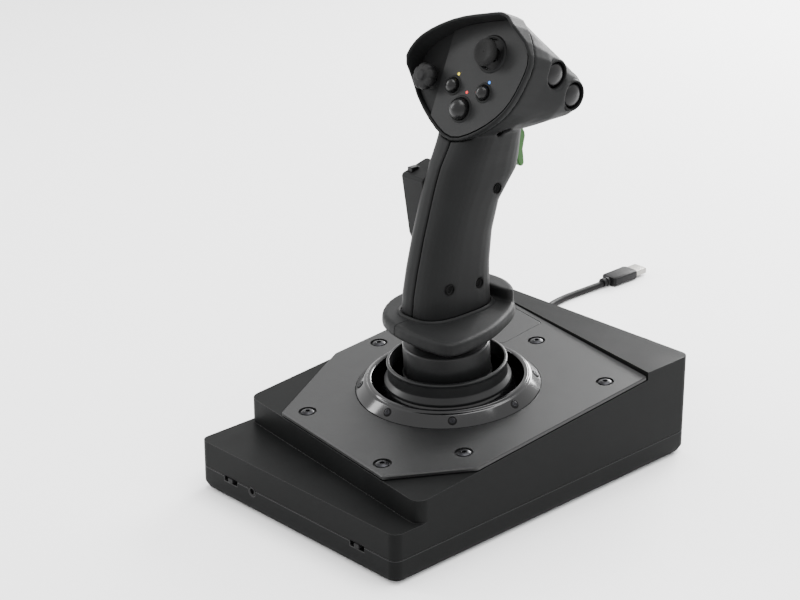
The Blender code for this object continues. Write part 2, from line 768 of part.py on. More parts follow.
REST_KNOTS = [
    (-35, -13),
    (-21, -37),
    (0, -46.5),
    (28, -48),
    (46, -42),
    (45.5, -14),
    (37, 12),
    (25, 33),
    (4, 45),
    (-22, 42),
    (-35, 18),
]
LOBE_KNOTS = [(-24, 30.5), (0, 30), (20.5, 30.5), (19.5, 37), (3, 44), (-20, 41)]
LOBE_RISE = 7.6


def make_rest():
    outline = smooth_loop(REST_KNOTS, 4)
    rest = prism("hand_rest", [tuple(p) for p in outline], REST_BOTTOM, REST_TOP, PLASTIC)
    soften(rest, 2.4, 3)
    lobe_outline = [tuple(p) for p in smooth_loop(LOBE_KNOTS, 4)]
    lobe = prism("rest_lobe", lobe_outline, REST_TOP - 3, REST_TOP + LOBE_RISE)
    soften(lobe, 2.2, 2)
    join(rest, lobe)
    hole = cylinder("rest_hole", SHAFT_RADIUS + GAP, (0, 0, 90), (0, 0, 140))
    lean(hole)
    cut(rest, hole)


# ---- grip and head -------------------------------------------------------------------------------------

# Height, user-side edge, far edge and half width of the grip, from the rest up into the head.
GRIP_LEVELS = [
    (112.3, -32.0, 27.0, 18.6),
    (125, -31.0, 26.0, 18.5),
    (140, -28.0, 25.5, 18.3),
    (160, -23.0, 27.5, 18.0),
    (178, -17.6, 33.0, 18.0),
    (188, -14.6, 42.0, 18.0),
    (195, -12.2, 48.5, 18.0),
    (203, -9.0, 50.0, 18.2),
    (214, -2.4, 50.0, 19.1),
    (228, 5.0, 50.0, 20.8),
]
GRIP_POINTS = 32
GRIP_POWER = 3.0


def grip_rings(grow):
    """Rounded sections of the grip, each grown by a distance."""
    rings = []
    for z, near, far, half in GRIP_LEVELS:
        middle, deep, wide = (near + far) / 2, (far - near) / 2 + grow, half + grow
        ring = []
        for i in range(GRIP_POINTS):
            angle = 2 * math.pi * i / GRIP_POINTS
            c, s = math.cos(angle), math.sin(angle)
            x = wide * math.copysign(abs(c) ** (2 / GRIP_POWER), c)
            y = deep * math.copysign(abs(s) ** (2 / GRIP_POWER), s)
            ring.append(Vector((x, middle + y, z)))
        rings.append(ring)
    return rings


# The head's outline in its face plane (right, up), at five depths behind the face.
HEAD_SECTIONS = [
    (
        0,
        [
            *((0, -5), (20, 4), (36, 20), (43, 39), (43, 56), (27, 75)),
            *((9, 73), (-15, 65), (-36, 51.5), (-44, 37), (-42, 21), (-21, 3)),
        ],
    ),
    (
        18,
        [
            *((0, -3), (20, 6), (37, 21), (43, 39), (43, 56), (29, 68)),
            *((8, 69), (-14, 63), (-33, 51), (-41, 36), (-36, 20), (-18, 6)),
        ],
    ),
    (
        38,
        [
            *((2, 9), (20, 14), (38, 24), (44, 38), (41, 53), (28, 62)),
            *((8, 64), (-12, 60), (-26, 50), (-31, 37), (-25, 25), (-12, 15)),
        ],
    ),
    (
        54,
        [
            *((6, 24), (21, 24), (37, 29), (43, 39), (39, 51), (26, 56)),
            *((8, 58), (-6, 55), (-16, 48), (-19, 40), (-14, 33), (-5, 28)),
        ],
    ),
    (
        65,
        [
            *((8, 33), (18, 32), (29, 34), (35, 40), (30, 47), (20, 50)),
            *((9, 51), (0, 49), (-5, 45), (-6, 41), (-4, 38), (2, 35)),
        ],
    ),
]
HEAD_SMOOTH = 3


def head_turn():
    """Columns are the face's right, its up, and its normal towards the user."""
    right = Vector((1, 0, 0))
    up = Vector((0, math.sin(HEAD_TILT), math.cos(HEAD_TILT)))
    return Matrix((right, up, right.cross(up))).transposed()


HEAD_TURN = head_turn()


def at_head(x, up, depth):
    """A point given in the face's own right, up and depth behind the face."""
    return HEAD_ORIGIN + HEAD_TURN @ Vector((x, up, -depth))


def head_outline(depth):
    """The head's outline at any depth, between the drawn sections."""
    for (near, low), (far, high) in zip(HEAD_SECTIONS, HEAD_SECTIONS[1:]):
        if depth <= far:
            break
    t = (depth - near) / (far - near)
    knots = [Vector(a) * (1 - t) + Vector(b) * t for a, b in zip(low, high)]
    return smooth_loop(knots, HEAD_SMOOTH)


def head_rings(depths, shrink):
    rings = []
    for depth in depths:
        loop = inset(head_outline(depth), shrink)
        rings.append([at_head(p.x, p.y, depth) for p in loop])
    return rings


HEAD_DEPTHS = (HEAD_FRONT, 11, 18, 28, 38, 46, 54, 60, 65)
POD_BUTTONS = [(27.3, 49.6), (48.0, 41.0)]
POD_X = 43.0
POD_RECESS = 8.4
POD_CAP = 7.4
GRIP_SCREWS = [(-16.5, 131.5), (8.5, 129.5), (23.0, 187.0), (22.0, 224.0)]
SCREW_RECESS = 3.2
RECESS_FLOOR = 16.0
TRIGGER_PIVOT = (44.0, 214.0)
TRIGGER_HALF = 4.5
TRIGGER_PIN_HALF = 13.2
TRIGGER_PIN = 1.7
SLIM_GAP = 0.2


def make_shells():
    """The two half shells, split on the middle plane, hollow, with their openings."""
    head = loft("head_form", head_rings(HEAD_DEPTHS, 0.0))
    inside_depths = (HEAD_FRONT - 2, 11, 18, 28, 38, 46, 54, 61)
    inside_head = loft("head_inside", head_rings(inside_depths, SHELL))
    inner = grip_rings(-SHELL)
    inner[0] = [point - Vector((0, 0, 3)) for point in inner[0]]
    inside_grip = loft("grip_inside", inner)
    trigger_slot = box(
        "trigger_slot",
        (-TRIGGER_HALF - 0.8, TRIGGER_PIVOT[0] - 12, 187.0),
        (TRIGGER_HALF + 0.8, 72.0, TRIGGER_PIVOT[1] + 10),
    )
    pin_reach = TRIGGER_PIN_HALF + GAP
    pivot_y, pivot_z = TRIGGER_PIVOT
    pin_start, pin_end = (-pin_reach, pivot_y, pivot_z), (pin_reach, pivot_y, pivot_z)
    pin_bore = cylinder("trigger_pin_bore", TRIGGER_PIN + 2 * SLIM_GAP, pin_start, pin_end, steps=12)
    for side, sign in (("left", -1), ("right", 1)):
        shell = loft(f"grip_{side}", grip_rings(0.0), PLASTIC)
        low_x, high_x = sorted((-sign * 90.0, sign * 0.15))
        half = box(f"{side}_half_gone", (low_x, -90, 90), (high_x, 120, 330))
        opening = [tuple(p) for p in inset(head_outline(0.0), -GAP)]
        front_gone = prism(f"{side}_front_gone", opening, -HEAD_FRONT, 60, None, HEAD_ORIGIN, HEAD_TURN)
        join(shell, head, solver="MANIFOLD")
        cut(shell, front_gone, inside_grip, inside_head, trigger_slot, pin_bore, half, solver="MANIFOLD")
        if side == "right":
            cut(shell, *pod_wells(), *screw_recesses(), solver="MANIFOLD")


def pod_wells():
    return [
        cylinder(f"pod_well_{i + 1}", POD_RECESS, at_head(POD_X - 12, up, depth), at_head(POD_X + 12, up, depth))
        for i, (depth, up) in enumerate(POD_BUTTONS)
    ]


def screw_recesses():
    return [
        cylinder(f"grip_screw_recess_{i + 1}", SCREW_RECESS, (RECESS_FLOOR, y, z), (60, y, z), steps=16)
        for i, (y, z) in enumerate(GRIP_SCREWS)
    ]


def make_head_front():
    """The frame with its hood, the button plate and the lower panel under the hat."""
    outer = inset(head_outline(0.0), 0.0)
    inner = inset(outer, FRAME_WIDTH)
    rings = []
    for out, within in zip(outer, inner):
        rise = hood_rise(out)
        rings.append(
            [
                at_head(out.x, out.y, HEAD_FRONT - GAP),
                at_head(out.x, out.y, -rise + 0.8),
                at_head(*(out * 0.7 + within * 0.3), -rise),
                at_head(*(out * 0.2 + within * 0.8), -rise + 0.4),
                at_head(within.x, within.y, HEAD_FRONT - GAP),
            ]
        )
    band("face_frame", rings, PLASTIC)
    filled = [tuple(p) for p in inset(outer, FRAME_WIDTH + GAP)]
    plate = prism("face_plate", filled, -FACE_THICK, 0.0, TEXTURED, HEAD_ORIGIN, HEAD_TURN)
    left = box("face_left_gone", (-90, -90, -30), (FACE_SPLIT, 120, 30))
    left.matrix_world = Matrix.Translation(HEAD_ORIGIN * MM) @ HEAD_TURN.to_4x4()
    cut(plate, left)
    panel = prism("hat_panel", filled, -PANEL_LOW, -PANEL_SUNK, TEXTURED, HEAD_ORIGIN, HEAD_TURN)
    right = box("face_right_gone", (FACE_SPLIT - GAP, -90, -30), (90, 120, 30))
    right.matrix_world = left.matrix_world
    cut(panel, right)
    return plate, panel


def hood_rise(point):
    """How far the frame stands proud of the face: a low collar that climbs into the hood at the upper left."""
    low, high = 0.8, HOOD_HEIGHT
    angle = math.degrees(math.atan2(point.y - 34.0, point.x))
    toward = math.cos(math.radians(angle - HOOD_MIDDLE))
    share = min(max((toward - 0.12) / 0.34, 0.0), 1.0)
    return low + (high - low) * share * share * (3 - 2 * share)


STICK_AT = (13.0, 51.0)
STICK_WELL = 9.4
HAT_AT = (-30.0, 27.6)
HAT_WELL = 7.0
BUTTONS = {
    "ball_button_left": (-9.8, 27.2, 4.4),
    "ball_button_right": (15.3, 27.8, 4.4),
    "dome_button": (1.1, 14.8, 6.6),
}


def head_cylinder(name, radius, spot, deep, proud, steps=ROUND_STEPS):
    """A cutter square to the face, from a depth behind it to a height in front."""
    return cylinder(name, radius, at_head(*spot, deep), at_head(*spot, -proud), steps=steps)


def make_head_controls(plate, panel):
    for name, (x, up, radius) in BUTTONS.items():
        cut(plate, head_cylinder(f"{name}_hole", radius + GAP, (x, up), 20, 20))
        profile = []
        for degrees in range(0, 91, 15):
            angle = math.radians(degrees)
            profile.append((radius * math.sin(angle), 1.2 + radius * 0.85 * math.cos(angle)))
        profile += [(radius, -4.0), (0, -4.0)]
        turned(name, profile, GLOSSY, at_head(x, up, 0), HEAD_TURN, 20)
    cut(plate, head_cylinder("stick_well", STICK_WELL, STICK_AT, 20, 20))
    bowl = STICK_WELL - GAP
    yoke = [(bowl, -1.6), (bowl, -3.2), (4.6, -3.2), (4.6, -1.6)]
    turned("thumbstick_yoke", yoke, SOFT, at_head(*STICK_AT, 0), HEAD_TURN, 24, closed=True)
    cap = [
        (0, 8.0),
        (4.6, 8.1),
        (6.4, 8.5),
        (7.8, 7.7),
        (8.4, 6.2),
        (8.2, 4.4),
        (3.2, 3.2),
        (2.8, -6.0),
        (0, -6.0),
    ]
    turned("thumbstick_cap", cap, SOFT, at_head(*STICK_AT, 0), HEAD_TURN, 24)
    cut(panel, head_cylinder("hat_well", HAT_WELL, HAT_AT, 20, 20))
    edge = HAT_WELL - GAP
    hat_ring = [(edge, -2.2), (edge, -3.6), (4.0, -3.6), (4.0, -2.2)]
    turned("hat_yoke", hat_ring, SOFT, at_head(*HAT_AT, 0), HEAD_TURN, 20, closed=True)
    hat = [
        (0, 9.8),
        (2.4, 9.8),
        (3.2, 8.8),
        (6.8, 8.2),
        (8.2, 6.2),
        (8.0, 2.6),
        (6.6, 1.2),
        (3.0, 0.8),
        (3.0, -6.0),
        (0, -6.0),
    ]
    turned("hat_cap", hat, SOFT, at_head(*HAT_AT, 0), HEAD_TURN, 24)
    sideways = Matrix.Rotation(math.radians(90), 3, "Y")
    for i, (depth, up) in enumerate(POD_BUTTONS):
        profile = [(0, 0.4), (3.0, 0.2), (5.6, -0.9), (POD_CAP, -2.2), (POD_CAP, -9.0), (0, -9.0)]
        turned(f"pod_button_{i + 1}", profile, GLOSSY, at_head(POD_X, up, depth), sideways, 24)


def make_trigger():
    pivot_y, pivot_z = TRIGGER_PIVOT
    knots = [
        (0, 4.4),
        (9, 5),
        (15, 0),
        (17, -5),
        (15.2, -13),
        (16.6, -22.6),
        (13, -24),
        (9.6, -16),
        (8.6, -6),
        (-1, -4.6),
    ]
    blade = [tuple(p) for p in smooth_loop(knots, 2)]
    # The outline is drawn in (Y, Z) and extruded along X.
    turn = Matrix(((0, 0, 1), (1, 0, 0), (0, 1, 0)))
    trigger = prism("trigger", blade, -TRIGGER_HALF, TRIGGER_HALF, GREEN, (0, pivot_y, pivot_z), turn)
    soften(trigger, 1.0, 2)
    bore_start, bore_end = (-20, pivot_y, pivot_z), (20, pivot_y, pivot_z)
    cut(trigger, cylinder("trigger_bore", TRIGGER_PIN + GAP, bore_start, bore_end, steps=12))
    pin_start, pin_end = (-TRIGGER_PIN_HALF, pivot_y, pivot_z), (TRIGGER_PIN_HALF, pivot_y, pivot_z)
    cylinder("trigger_pin", TRIGGER_PIN, pin_start, pin_end, STEEL, 12)


FIN_BUTTON_LOW = (-31.1, -6.0, 188.8)
FIN_BUTTON_HIGH = (-26.9, 0.0, 195.8)
FIN_BUTTON_TRAVEL = 1.2
FIN_OUTLINE = [(-3, 152), (-9.8, 192), (12, 197.5), (16, 190), (14, 160), (8, 148), (0, 146)]


def make_fin():
    """A thumb paddle standing off the grip's left side, with one small button on its top edge."""
    turn = Matrix(((0, 0, 1), (1, 0, 0), (0, 1, 0)))
    fin = prism("side_fin", rounded(FIN_OUTLINE, 2.0, 2), -33.0, -14.0, PLASTIC, (0, 0, 0), turn)
    soften(fin, 1.2, 2)
    cut(fin, loft("grip_clearance", grip_rings(GAP)))
    low, high = Vector(FIN_BUTTON_LOW), Vector(FIN_BUTTON_HIGH)
    around = Vector((GAP, GAP, 0))
    well_low = low - around - Vector((0, 0, FIN_BUTTON_TRAVEL + GAP))
    cut(fin, box("fin_button_well", well_low, high + around + Vector((0, 0, 20))))
    box("fin_button", low, high, GLOSSY, 0.5)


def make_grip_board():
    box("grip_board", (-12, 8, 142), (12, 9.6, 196), BOARD)


def main():
    openings = front_openings()
    make_tray(openings)
    make_shell(openings)
    make_plate()
    make_bezel()
    make_front_fittings()
    make_inside()
    make_gland()
    make_cord()
    make_gimbal()
    make_dust_cover()
    make_rest()
    make_shells()
    plate, panel = make_head_front()
    make_head_controls(plate, panel)
    make_trigger()
    make_fin()
    make_grip_board()


main()
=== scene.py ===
"""The visual model of a corded flight joystick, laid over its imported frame.

Lengths are millimetres in the tables and functions here, and become metres where a mesh is made.
+X is the user's right, -Y is towards the user and +Z is up.
"""

import math

import bmesh
import bpy
from mathutils import Matrix, Vector


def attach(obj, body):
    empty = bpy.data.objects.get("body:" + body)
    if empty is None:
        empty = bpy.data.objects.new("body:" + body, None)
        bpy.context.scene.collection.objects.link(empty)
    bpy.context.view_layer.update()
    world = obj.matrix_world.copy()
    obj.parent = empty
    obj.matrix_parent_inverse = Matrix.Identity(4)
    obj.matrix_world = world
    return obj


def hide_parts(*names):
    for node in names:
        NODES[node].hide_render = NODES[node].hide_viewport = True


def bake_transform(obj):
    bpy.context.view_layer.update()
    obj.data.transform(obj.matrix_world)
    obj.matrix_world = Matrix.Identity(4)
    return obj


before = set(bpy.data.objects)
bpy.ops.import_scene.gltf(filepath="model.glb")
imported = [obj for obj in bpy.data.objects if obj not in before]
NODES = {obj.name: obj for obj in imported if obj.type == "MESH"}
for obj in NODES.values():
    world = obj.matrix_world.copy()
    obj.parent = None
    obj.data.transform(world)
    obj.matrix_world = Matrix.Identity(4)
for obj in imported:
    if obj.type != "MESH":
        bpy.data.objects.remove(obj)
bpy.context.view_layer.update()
MM = 0.001


# ---- materials -----------------------------------------------------------------------------------------


class Value:
    """One socket of a material, with Python's arithmetic. Each expression adds its Math nodes."""

    def __init__(self, look, socket):
        self.look = look
        self.socket = socket

    def _math(self, operation, *values):
        inputs = {i: value for i, value in enumerate(values)}
        return self.look.node("ShaderNodeMath", {"operation": operation}, inputs)[0]

    def __add__(self, other):
        return self._math("ADD", self, other)

    def __sub__(self, other):
        return self._math("SUBTRACT", self, other)

    def __rsub__(self, other):
        return self._math("SUBTRACT", other, self)

    def __mul__(self, other):
        return self._math("MULTIPLY", self, other)

    __radd__ = __add__
    __rmul__ = __mul__

    def step(self, low, high):
        """0 below low, 1 above high, and a smooth rise between."""
        settings = {"interpolation_type": "SMOOTHSTEP"}
        inputs = {"Value": self, "From Min": low, "From Max": high}
        return self.look.node("ShaderNodeMapRange", settings, inputs)[0]


class Look:
    """A material under one name, its Principled shader and the nodes that feed it."""

    def __init__(self, name):
        self.material = bpy.data.materials.new(name)
        self.material.use_nodes = True
        self.tree = self.material.node_tree
        self.shader = self.tree.nodes["Principled BSDF"]
        self.object_space = self.node("ShaderNodeTexCoord")["Object"]

    def node(self, kind, settings=None, inputs=None):
        """Adds a node, its settings first, then its inputs, and returns its outputs by name or place."""
        made = self.tree.nodes.new(kind)
        for key, value in (settings or {}).items():
            setattr(made, key, value)
        for key, value in (inputs or {}).items():
            self.feed(made.inputs[key], value)
        outputs = {socket.name: Value(self, socket) for socket in made.outputs if socket.enabled}
        outputs.update({i: value for i, value in enumerate(list(outputs.values()))})
        return outputs

    def feed(self, socket, value):
        if isinstance(value, Value):
            self.tree.links.new(value.socket, socket)
        else:
            socket.default_value = value

    def noise(self, scale, detail=2.0, roughness=0.5, stretch=(1, 1, 1)):
        settings = {"vector_type": "POINT"}
        where = self.node("ShaderNodeMapping", settings, {"Vector": self.object_space, "Scale": stretch})[0]
        inputs = {"Vector": where, "Scale": scale, "Detail": detail, "Roughness": roughness}
        return self.node("ShaderNodeTexNoise", None, inputs)["Fac"]

    def grains(self, scale):
        inputs = {"Vector": self.object_space, "Scale": scale}
        return self.node("ShaderNodeTexVoronoi", {"feature": "F1"}, inputs)["Distance"]

    def blend(self, share, low, high):
        """A colour between two, by a share from 0 to 1."""
        made = self.tree.nodes.new("ShaderNodeMix")
        made.data_type = "RGBA"
        self.feed(made.inputs["Factor"], share)
        for socket, value in ((made.inputs[6], low), (made.inputs[7], high)):
            self.feed(socket, value if isinstance(value, Value) else (*value, 1.0))
        return Value(self, made.outputs[2])

    def finish(self, **sockets):
        """Sets the shader's own sockets, an underscore standing for a space, and returns the material."""
        for name, value in sockets.items():
            self.feed(self.shader.inputs[name.replace("_", " ")], value)
        return self.material

    def bump(self, height, distance, strength=1.0):
        """A relief whose full height is a distance in metres."""
        inputs = {"Height": height, "Distance": distance, "Strength": strength}
        return self.node("ShaderNodeBump", None, inputs)[0]


def moulded_plastic(name, shade, roughness, grain_height, reflecting):
    """Charcoal ABS with a fine spark-eroded grain, cloudy handling marks and a little dust."""
    look = Look(name)
    grain = look.grains(2600) * 0.6 + look.noise(1400, 3.0) * 0.4
    cloud = look.noise(26, 4.0, 0.55).step(0.3, 0.72)
    speck = look.noise(900, 2.0).step(0.63, 0.7)
    lighter = tuple(c * 1.3 + 0.001 for c in shade)
    colour = look.blend(cloud * 0.5 + speck * 0.5, shade, lighter)
    return look.finish(
        Base_Color=colour,
        Roughness=cloud * 0.09 + grain * 0.1 + (roughness - 0.09),
        Normal=look.bump(grain, grain_height),
        Specular_IOR_Level=reflecting,
    )


def polished_black():
    """Piano-black plastic: a deep clear gloss with wiping haze and a few hair scratches."""
    look = Look("polished_black")
    haze = look.noise(38, 5.0, 0.6).step(0.42, 0.75)
    hair = look.noise(420, 2.0, 0.5, (1, 14, 1)).step(0.66, 0.7)
    return look.finish(
        Base_Color=look.blend(haze, (0.002, 0.002, 0.0022), (0.004, 0.004, 0.0045)),
        Roughness=haze * 0.07 + hair * 0.1 + 0.14,
        Specular_IOR_Level=0.35,
        Normal=look.bump(look.noise(90, 2.0), 0.00002),
    )


def soft_black(name="soft_black", shade=(0.003, 0.003, 0.0032), roughness=0.6):
    """Soft-touch black on caps and knobs, shinier where thumbs have rubbed it."""
    look = Look(name)
    wear_and_highlight = look.noise(70, 4.0).step(0.45, 0.7)
    pores = look.noise(3200, 2.0)
    return look.finish(
        Base_Color=look.blend(wear_and_highlight, shade, tuple(c * 1.6 for c in shade)),
        Roughness=roughness - wear_and_highlight * 0.14 + pores * 0.08,
        Normal=look.bump(pores, 0.00003),
        Specular_IOR_Level=0.2,
    )


def steel(name, shade, roughness):
    look = Look(name)
    brushed = look.noise(900, 3.0, 0.6, (1, 1, 9))
    return look.finish(
        Base_Color=look.blend(brushed, tuple(c * 0.8 for c in shade), shade),
        Metallic=1.0,
        Roughness=brushed * 0.2 + (roughness - 0.1),
        Normal=look.bump(brushed, 0.00001),
    )


def satin_green():
    look = Look("trigger_green")
    grain = look.noise(1700, 3.0)
    rubbed = look.noise(60, 3.0).step(0.45, 0.7)
    return look.finish(
        Base_Color=look.blend(rubbed, (0.018, 0.085, 0.010), (0.024, 0.105, 0.014)),
        Roughness=grain * 0.12 + rubbed * 0.08 + 0.3,
        Normal=look.bump(grain, 0.00002),
        Specular_IOR_Level=0.2,
    )


def cord_jacket():
    look = Look("cord_jacket")
    skin = look.noise(500, 3.0)
    dust = look.noise(45, 4.0).step(0.5, 0.8)
    return look.finish(
        Specular_IOR_Level=0.12,
        Base_Color=look.blend(dust, (0.004, 0.004, 0.0042), (0.007, 0.007, 0.0075)),
        Roughness=skin * 0.15 + dust * 0.1 + 0.42,
        Normal=look.bump(skin, 0.00002),
    )


def circuit_green():
    look = Look("circuit_green")
    tracks = look.noise(260, 1.0, 0.5, (1, 6, 1)).step(0.52, 0.55)
    return look.finish(
        Base_Color=look.blend(tracks, (0.008, 0.1, 0.03), (0.015, 0.17, 0.05)),
        Roughness=0.35 - tracks * 0.1,
        Normal=look.bump(tracks, 0.00003),
    )


def studio_floor():
    look = Look("studio_floor")
    return look.finish(
        Base_Color=look.blend(look.noise(3, 2.0), (0.86, 0.86, 0.865), (0.88, 0.88, 0.88)),
        Roughness=0.65,
        Specular_IOR_Level=0.25,
    )


HOUSING = moulded_plastic("charcoal_housing", (0.0048, 0.0050, 0.0050), 0.46, 0.00003, 0.045)
PLATE = moulded_plastic("textured_plate", (0.0060, 0.0062, 0.0063), 0.44, 0.00006, 0.28)
GRIP = moulded_plastic("grip_plastic", (0.0068, 0.0070, 0.0071), 0.52, 0.00003, 0.085)
FACE = moulded_plastic("face_plastic", (0.0058, 0.0060, 0.0061), 0.48, 0.00006, 0.17)
SLEEVE = moulded_plastic("sleeve_plastic", (0.0085, 0.0088, 0.0090), 0.34, 0.00001, 0.2)
# A lighter finish for bevel faces: a painted highlight along the edges of the base.
HIGHLIGHT_PAINT = moulded_plastic("edge_highlight_paint", (0.0130, 0.0133, 0.0135), 0.36, 0.00001, 0.2)
CAP = moulded_plastic("button_black", (0.0030, 0.0030, 0.0032), 0.3, 0.00001, 0.22)
GLOSS = polished_black()
SOFT = soft_black()
# Near-black for the linings of the grip's screw recesses, the rings round the bezel screws and the rest's seam:
# painted shade.
PAINTED_SHADE = soft_black("painted_shade_black", (0.0004, 0.0004, 0.0004), 0.9)
RUBBER = soft_black("foot_rubber", (0.005, 0.005, 0.005), 0.8)
STEEL = steel("plain_steel", (0.5, 0.5, 0.51), 0.4)
OXIDE = steel("black_oxide", (0.022, 0.022, 0.024), 0.36)
NICKEL = steel("plug_nickel", (0.34, 0.33, 0.31), 0.34)
GREEN = satin_green()
JACKET = cord_jacket()
CIRCUIT = circuit_green()
WHITE = soft_black("plug_white", (0.7, 0.7, 0.68), 0.45)

NODE_LOOKS = {
    HOUSING: ["bottom_tray", "top_shell"],
    PLATE: ["top_plate", "service_cover"],
    FACE: ["face_plate"],
    SLEEVE: ["dust_cup", "neck_collar"],
    GRIP: ["grip_left", "grip_right", "face_frame", "hand_rest", "side_fin", "hat_panel"],
    GLOSS: ["bezel_ring", "dust_washer"],
    CAP: [
        *("ball_button_left", "ball_button_right", "dome_button"),
        *("pod_button_1", "pod_button_2", "fin_button"),
    ],
    SOFT: [
        *("neck_hub", "gimbal_frame", "gimbal_yoke", "spring_seat", "spring_cup", "headset_socket"),
        *("slide_switch_1", "slide_switch_2", "switch_knob_1", "switch_knob_2"),
        *("thumbstick_yoke", "thumbstick_cap", "hat_yoke", "hat_cap"),
    ],
    RUBBER: [f"rubber_foot_{i + 1}" for i in range(4)],
    JACKET: ["cable_gland", "cord_lead", "cord_coil", "cord_tail", "usb_plug"],
    STEEL: [
        *("ballast_plate", "yoke_pin_left", "yoke_pin_right", "cross_pin"),
        *("centring_spring", "stick_shaft", "trigger_pin"),
    ],
    OXIDE: [f"plate_screw_{i + 1}" for i in range(6)],
    GREEN: ["trigger"],
    CIRCUIT: ["main_board", "grip_board"],
}
for look, names in NODE_LOOKS.items():
    for name in names:
        NODES[name].data.materials.clear()
        NODES[name].data.materials.append(look)


# ---- studio --------------------------------------------------------------------------------------------

CAMERA_TURN = math.radians(46.47)
CAMERA_RISE = math.radians(22.02)
CAMERA_REACH = 1.2823
CAMERA_LENS = 95.95
CAMERA_AIM = Vector((0.0, -0.0416, 0.1270))


def make_camera():
    back = Vector(
        (
            math.sin(CAMERA_TURN) * math.cos(CAMERA_RISE),
            -math.cos(CAMERA_TURN) * math.cos(CAMERA_RISE),
            math.sin(CAMERA_RISE),
        )
    )
    camera = bpy.data.objects.new("camera", bpy.data.cameras.new("camera"))
    camera.data.lens = CAMERA_LENS
    camera.data.sensor_width = 36.0
    camera.data.clip_end = 20.0
    camera.location = CAMERA_AIM + back * CAMERA_REACH
    camera.rotation_euler = back.to_track_quat("Z", "Y").to_euler()
    bpy.context.scene.collection.objects.link(camera)
    bpy.context.scene.camera = camera


def softbox(name, at, aim, size, power):
    """A square of soft light, facing its aim point."""
    light = bpy.data.lights.new(name, "AREA")
    light.shape = "RECTANGLE"
    light.size, light.size_y = size
    light.energy = power
    thing = bpy.data.objects.new(name, light)
    thing.location = at
    thing.rotation_euler = (Vector(at) - Vector(aim)).to_track_quat("Z", "Y").to_euler()
    bpy.context.scene.collection.objects.link(thing)


def make_studio():
    work = bmesh.new()
    bmesh.ops.create_grid(work, x_segments=4, y_segments=4, size=4.0)
    mesh = bpy.data.meshes.new("floor")
    work.to_mesh(mesh)
    work.free()
    floor = bpy.data.objects.new("floor", mesh)
    floor.location.z = -0.0002
    mesh.materials.append(studio_floor())
    bpy.context.scene.collection.objects.link(floor)

    world = bpy.data.worlds.new("studio")
    bpy.context.scene.world = world
    world.use_nodes = True
    world.node_tree.nodes["Background"].inputs["Color"].default_value = (1.0, 1.0, 1.0, 1.0)
    world.node_tree.nodes["Background"].inputs["Strength"].default_value = 2.0
    softbox("overhead", (0.2, 0.3, 1.6), (0.0, 0.0, 0.1), (1.4, 1.2), 48.0)
    softbox("rear_panel", (-0.45, 1.5, 0.62), (0.0, 0.1, 0.05), (0.8, 0.4), 42.0)
    softbox("left_key", (-1.3, -0.7, 0.7), (0.0, 0.0, 0.15), (0.25, 0.9), 12.0)


# ---- shapes --------------------------------------------------------------------------------------------


def piece(name, mesh, look, body, stands_for=(), at=(0, 0, 0), turn=None, sharp=32):
    """Puts a mesh into the model: its finish, its place in millimetres, and the body it moves with."""
    thing = bpy.data.objects.new(name, mesh)
    bpy.context.scene.collection.objects.link(thing)
    thing.matrix_world = Matrix.Translation(Vector(at) * MM) @ (turn or Matrix.Identity(3)).to_4x4()
    if look:
        mesh.materials.append(look)
    mesh.shade_smooth()
    mesh.set_sharp_from_angle(angle=math.radians(sharp))
    if body:
        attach(thing, body)
    if stands_for:
        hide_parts(*stands_for)
    return thing


def skin(name, rings, looped=False):
    """A mesh over rings of points in millimetres, capped at its ends or joined round."""
    work = bmesh.new()
    rows = [[work.verts.new(Vector(point) * MM) for point in ring] for ring in rings]
    pairs = list(zip(rows, rows[1:])) + ([(rows[-1], rows[0])] if looped else [])
    for near, far in pairs:
        for i, corner in enumerate(near):
            j = (i + 1) % len(near)
            work.faces.new((corner, near[j], far[j], far[i]))
    if not looped:
        work.faces.new(rows[0])
        work.faces.new(rows[-1])
    bmesh.ops.recalc_face_normals(work, faces=work.faces)
    mesh = bpy.data.meshes.new(name)
    work.to_mesh(mesh)
    work.free()
    return mesh


def fillet(profile, radius, steps=5):
    """A closed profile with each corner turned into a small arc, as tight as its sides allow."""
    points = []
    for i, corner in enumerate(profile):
        here = Vector(corner)
        before, after = Vector(profile[i - 1]) - here, Vector(profile[(i + 1) % len(profile)]) - here
        reach = min(radius, before.length * 0.48, after.length * 0.48)
        start, end = here + before.normalized() * reach, here + after.normalized() * reach
        for k in range(steps + 1):
            t = k / steps
            points.append(start * (1 - t) ** 2 + here * 2 * t * (1 - t) + end * t * t)
    return points


def turned(name, profile, look, body, stands_for=(), at=(0, 0, 0), turn=None, steps=96, radius=0.5):
    """A closed profile of (radius, height), its corners filleted, spun round +Z. Radii stay off the axis."""
    outline = fillet([(max(r, 0.01), z) for r, z in profile], radius)
    rings = []
    for k in range(steps):
        angle = 2 * math.pi * k / steps
        rings.append([(p.x * math.cos(angle), p.x * math.sin(angle), p.y) for p in outline])
    return piece(name, skin(name, rings, looped=True), look, body, stands_for, at, turn)


def squared_ring(half_wide, half_deep, power, steps):
    """Points of a closed curve between an ellipse, at power 1, and its box, as the power falls to 0."""
    points = []
    for k in range(steps):
        c, s = math.cos(2 * math.pi * k / steps), math.sin(2 * math.pi * k / steps)
        across = half_wide * math.copysign(abs(c) ** power, c)
        along = half_deep * math.copysign(abs(s) ** power, s)
        points.append((across, along))
    return points


def smooth_path(knots, per_knot):
    """An open smooth curve through the knots, ends included."""
    knots = [Vector(knot) for knot in knots]
    ends = [2 * knots[0] - knots[1]] + knots + [2 * knots[-1] - knots[-2]]
    points = []
    for a, b, c, d in zip(ends, ends[1:], ends[2:], ends[3:]):
        for step in range(per_knot):
            t = step / per_knot
            bend = (2 * a - 5 * b + 4 * c - d) * t**2 + (3 * b - a - 3 * c + d) * t**3
            points.append(0.5 * (2 * b + (c - a) * t + bend))
    return points + [knots[-1]]


